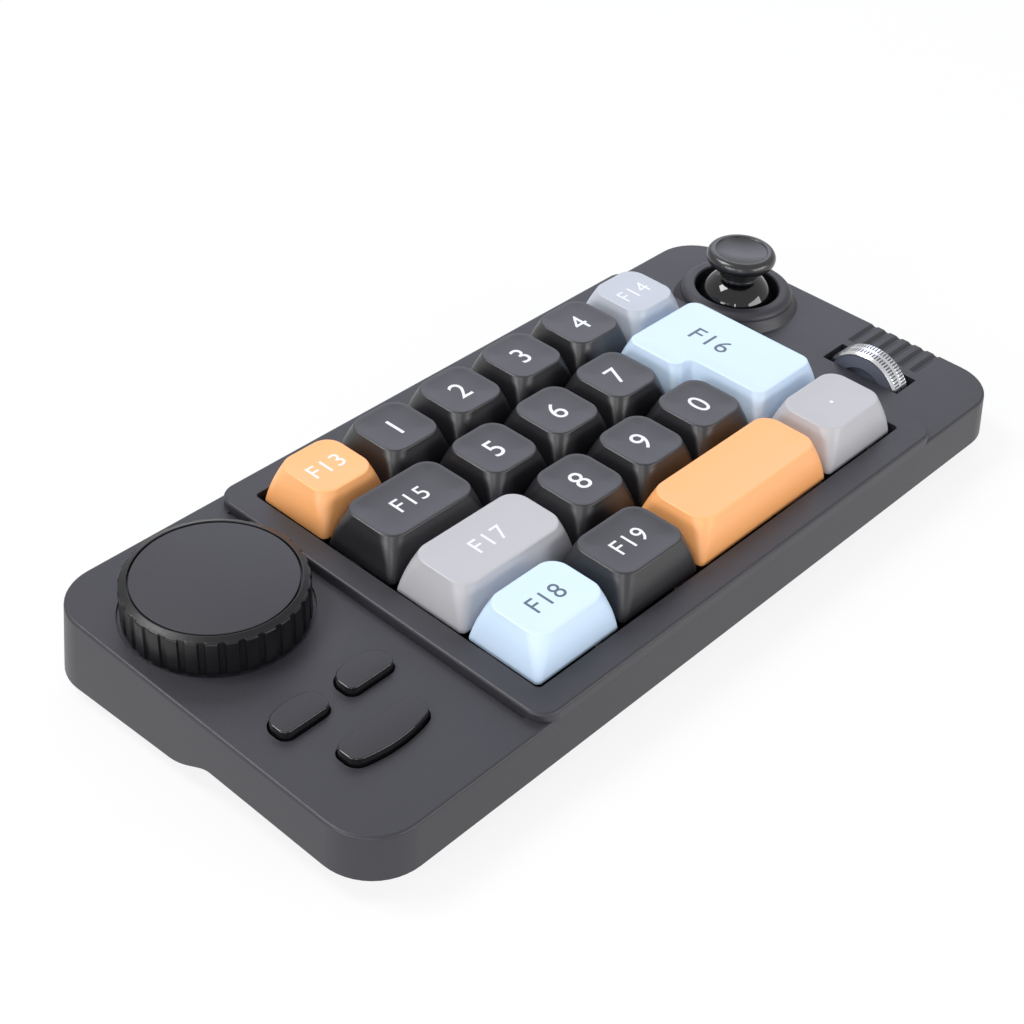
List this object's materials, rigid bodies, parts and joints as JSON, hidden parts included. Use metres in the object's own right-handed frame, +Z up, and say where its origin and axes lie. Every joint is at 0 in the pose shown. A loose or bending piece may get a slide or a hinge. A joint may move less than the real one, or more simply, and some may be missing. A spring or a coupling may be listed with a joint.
{
  "type": "macro keypad",
  "caption": "Low desk keypad with a sloping one-piece shell, coloured keycaps, a large grooved dial, a domed thumbstick, a knurled roller and glossy push buttons.",
  "frame": {"origin": "on the table, below the middle of the part's box", "axes": "+X along the keypad from the dial to the thumbstick, +Y to its back, +Z up"},
  "size_m": [0.1996, 0.0932, 0.0326],
  "materials": {
    "orange_caps": "satin",
    "bluish_caps": "satin",
    "dark_caps": "satin",
    "grey_caps": "satin",
    "ice_caps": "satin",
    "stems": "satin",
    "shell": "fine matte texture",
    "plate": "plain",
    "board": "solder mask",
    "housings": "satin",
    "dial": "fine matte texture",
    "metal": "plain",
    "gloss": "gloss",
    "stick": "soft matte",
    "roller_metal": "knurled",
    "wheel": "satin",
    "feet": "matte"
  },
  "bodies": {
    "case": {"top_case": "shell", "bottom_case": "shell", "switch_plate": "plate", "circuit_board": "board", "switch_housings": "housings", "encoder_body": "metal", "button_switches": "housings", "joystick_base": "housings", "roller_encoder": "board", "usb_socket": "metal", "rubber_feet": "feet", "case_screws": "metal"},
    "key_back_1": {"keycap_back_1": "orange_caps", "stem_back_1": "stems"},
    "key_back_2": {"keycap_back_2": "dark_caps", "stem_back_2": "stems"},
    "key_back_3": {"keycap_back_3": "dark_caps", "stem_back_3": "stems"},
    "key_back_4": {"keycap_back_4": "dark_caps", "stem_back_4": "stems"},
    "key_back_5": {"keycap_back_5": "dark_caps", "stem_back_5": "stems"},
    "key_back_6": {"keycap_back_6": "bluish_caps", "stem_back_6": "stems"},
    "key_upper_1": {"keycap_upper_1": "dark_caps", "stem_upper_1": "stems"},
    "key_upper_2": {"keycap_upper_2": "dark_caps", "stem_upper_2": "stems"},
    "key_upper_3": {"keycap_upper_3": "dark_caps", "stem_upper_3": "stems"},
    "key_upper_4": {"keycap_upper_4": "dark_caps", "stem_upper_4": "stems"},
    "key_lower_1": {"keycap_lower_1": "grey_caps", "stem_lower_1": "stems"},
    "key_lower_2": {"keycap_lower_2": "dark_caps", "stem_lower_2": "stems"},
    "key_lower_3": {"keycap_lower_3": "dark_caps", "stem_lower_3": "stems"},
    "key_lower_4": {"keycap_lower_4": "dark_caps", "stem_lower_4": "stems"},
    "key_front_1": {"keycap_front_1": "ice_caps", "stem_front_1": "stems"},
    "key_front_2": {"keycap_front_2": "dark_caps", "stem_front_2": "stems"},
    "key_front_3": {"keycap_front_3": "orange_caps", "stem_front_3": "stems"},
    "key_front_4": {"keycap_front_4": "grey_caps", "stem_front_4": "stems"},
    "key_corner": {"keycap_corner": "ice_caps", "stem_corner": "stems"},
    "dial": {"knob_cap": "dial", "knob_disc": "dial", "encoder_shaft": "metal"},
    "push_left": {"button_left": "gloss"},
    "push_right": {"button_right": "gloss"},
    "push_long": {"button_long": "gloss"},
    "gimbal": {"joystick_gimbal": "metal"},
    "stick": {"thumbstick": "stick"},
    "roller": {"roller_rim": "roller_metal", "roller_hub": "wheel"}
  },
  "joints": [
    {"name": "press_key_back_1", "type": "slide", "parent": "case", "child": "key_back_1", "axis": [0, 0.061, -0.9981], "range_m": [0, 0.004], "stiffness_N_per_m": 100, "springref_m": -0.003},
    {"name": "press_key_back_2", "type": "slide", "parent": "case", "child": "key_back_2", "axis": [0, 0.061, -0.9981], "range_m": [0, 0.004], "stiffness_N_per_m": 100, "springref_m": -0.003},
    {"name": "press_key_back_3", "type": "slide", "parent": "case", "child": "key_back_3", "axis": [0, 0.061, -0.9981], "range_m": [0, 0.004], "stiffness_N_per_m": 100, "springref_m": -0.003},
    {"name": "press_key_back_4", "type": "slide", "parent": "case", "child": "key_back_4", "axis": [0, 0.061, -0.9981], "range_m": [0, 0.004], "stiffness_N_per_m": 100, "springref_m": -0.003},
    {"name": "press_key_back_5", "type": "slide", "parent": "case", "child": "key_back_5", "axis": [0, 0.061, -0.9981], "range_m": [0, 0.004], "stiffness_N_per_m": 100, "springref_m": -0.003},
    {"name": "press_key_back_6", "type": "slide", "parent": "case", "child": "key_back_6", "axis": [0, 0.061, -0.9981], "range_m": [0, 0.004], "stiffness_N_per_m": 100, "springref_m": -0.003},
    {"name": "press_key_upper_1", "type": "slide", "parent": "case", "child": "key_upper_1", "axis": [0, 0.061, -0.9981], "range_m": [0, 0.004], "stiffness_N_per_m": 100, "springref_m": -0.003},
    {"name": "press_key_upper_2", "type": "slide", "parent": "case", "child": "key_upper_2", "axis": [0, 0.061, -0.9981], "range_m": [0, 0.004], "stiffness_N_per_m": 100, "springref_m": -0.003},
    {"name": "press_key_upper_3", "type": "slide", "parent": "case", "child": "key_upper_3", "axis": [0, 0.061, -0.9981], "range_m": [0, 0.004], "stiffness_N_per_m": 100, "springref_m": -0.003},
    {"name": "press_key_upper_4", "type": "slide", "parent": "case", "child": "key_upper_4", "axis": [0, 0.061, -0.9981], "range_m": [0, 0.004], "stiffness_N_per_m": 100, "springref_m": -0.003},
    {"name": "press_key_lower_1", "type": "slide", "parent": "case", "child": "key_lower_1", "axis": [0, 0.061, -0.9981], "range_m": [0, 0.004], "stiffness_N_per_m": 100, "springref_m": -0.003},
    {"name": "press_key_lower_2", "type": "slide", "parent": "case", "child": "key_lower_2", "axis": [0, 0.061, -0.9981], "range_m": [0, 0.004], "stiffness_N_per_m": 100, "springref_m": -0.003},
    {"name": "press_key_lower_3", "type": "slide", "parent": "case", "child": "key_lower_3", "axis": [0, 0.061, -0.9981], "range_m": [0, 0.004], "stiffness_N_per_m": 100, "springref_m": -0.003},
    {"name": "press_key_lower_4", "type": "slide", "parent": "case", "child": "key_lower_4", "axis": [0, 0.061, -0.9981], "range_m": [0, 0.004], "stiffness_N_per_m": 100, "springref_m": -0.003},
    {"name": "press_key_front_1", "type": "slide", "parent": "case", "child": "key_front_1", "axis": [0, 0.061, -0.9981], "range_m": [0, 0.004], "stiffness_N_per_m": 100, "springref_m": -0.003},
    {"name": "press_key_front_2", "type": "slide", "parent": "case", "child": "key_front_2", "axis": [0, 0.061, -0.9981], "range_m": [0, 0.004], "stiffness_N_per_m": 100, "springref_m": -0.003},
    {"name": "press_key_front_3", "type": "slide", "parent": "case", "child": "key_front_3", "axis": [0, 0.061, -0.9981], "range_m": [0, 0.004], "stiffness_N_per_m": 100, "springref_m": -0.003},
    {"name": "press_key_front_4", "type": "slide", "parent": "case", "child": "key_front_4", "axis": [0, 0.061, -0.9981], "range_m": [0, 0.004], "stiffness_N_per_m": 100, "springref_m": -0.003},
    {"name": "press_key_corner", "type": "slide", "parent": "case", "child": "key_corner", "axis": [0, 0.061, -0.9981], "range_m": [0, 0.004], "stiffness_N_per_m": 100, "springref_m": -0.003},
    {"name": "turn_dial", "type": "hinge", "parent": "case", "child": "dial", "pos_m": [-0.07685, 0.01822, 0.01949], "axis": [0, -0.061, 0.9981], "continuous": true},
    {"name": "press_button_left", "type": "slide", "parent": "case", "child": "push_left", "axis": [0, 0.061, -0.9981], "range_m": [0, 0.0005], "stiffness_N_per_m": 2000, "springref_m": -0.0003},
    {"name": "press_button_right", "type": "slide", "parent": "case", "child": "push_right", "axis": [0, 0.061, -0.9981], "range_m": [0, 0.0005], "stiffness_N_per_m": 2000, "springref_m": -0.0003},
    {"name": "press_button_long", "type": "slide", "parent": "case", "child": "push_long", "axis": [0, 0.061, -0.9981], "range_m": [0, 0.0005], "stiffness_N_per_m": 2000, "springref_m": -0.0003},
    {"name": "lean_stick_back", "type": "hinge", "parent": "case", "child": "gimbal", "pos_m": [0.08241, 0.01799, 0.01727], "axis": [1, 0, 0], "range_deg": [-20, 20], "stiffness_Nm_per_rad": 0.02},
    {"name": "lean_stick_side", "type": "hinge", "parent": "gimbal", "child": "stick", "pos_m": [0.08241, 0.01799, 0.01727], "axis": [0, 0.9981, 0.061], "range_deg": [-20, 20], "stiffness_Nm_per_rad": 0.02},
    {"name": "turn_roller", "type": "hinge", "parent": "case", "child": "roller", "pos_m": [0.08135, -0.02104, 0.01099], "axis": [1, 0, 0], "continuous": true}
  ]
}
